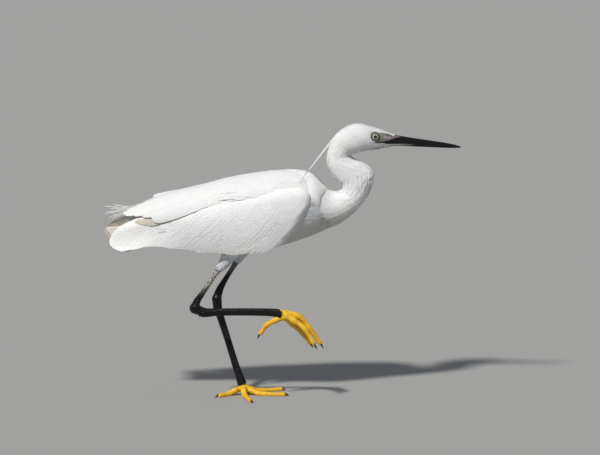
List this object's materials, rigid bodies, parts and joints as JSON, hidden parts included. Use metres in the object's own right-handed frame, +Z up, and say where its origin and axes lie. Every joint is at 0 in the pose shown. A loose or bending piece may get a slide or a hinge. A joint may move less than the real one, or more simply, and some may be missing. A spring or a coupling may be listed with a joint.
{
  "type": "little egret model",
  "caption": "Life-size still model of a little egret walking, one foot on the floor and the other raised, with folded wings, S-shaped neck and long nape plumes.",
  "frame": {"origin": "on the floor, under the middle of the model's box", "axes": "+X towards the bill, +Y to the bird's left, +Z up"},
  "size_m": [0.4289, 0.095, 0.333],
  "materials": {
    "plumage": "soft white feathers, matt with a faint sheen",
    "bill_horn": "black horn, satin",
    "eye": "pale yellow iris with a black pupil under a clear glossy surface",
    "leg_skin": "black scaled skin, satin",
    "toe_skin": "yellow scaled skin, satin",
    "claw_horn": "black horn"
  },
  "bodies": {
    "root": {"head": "plumage", "neck_upper": "plumage", "neck_lower": "plumage", "torso": "plumage", "tail": "plumage", "wing_left": "plumage", "wing_right": "plumage", "thigh_left": "plumage", "thigh_right": "plumage", "bill_upper": "bill_horn", "bill_lower": "bill_horn", "eye_left": "eye", "eye_right": "eye", "shin_left": "leg_skin", "shin_right": "leg_skin", "tarsus_left": "leg_skin", "tarsus_right": "leg_skin", "foot_left": "toe_skin", "foot_right": "toe_skin", "claw_left_1": "claw_horn", "claw_left_2": "claw_horn", "claw_left_3": "claw_horn", "claw_left_4": "claw_horn", "claw_right_1": "claw_horn", "claw_right_2": "claw_horn", "claw_right_3": "claw_horn", "claw_right_4": "claw_horn"}
  },
  "joints": []
}
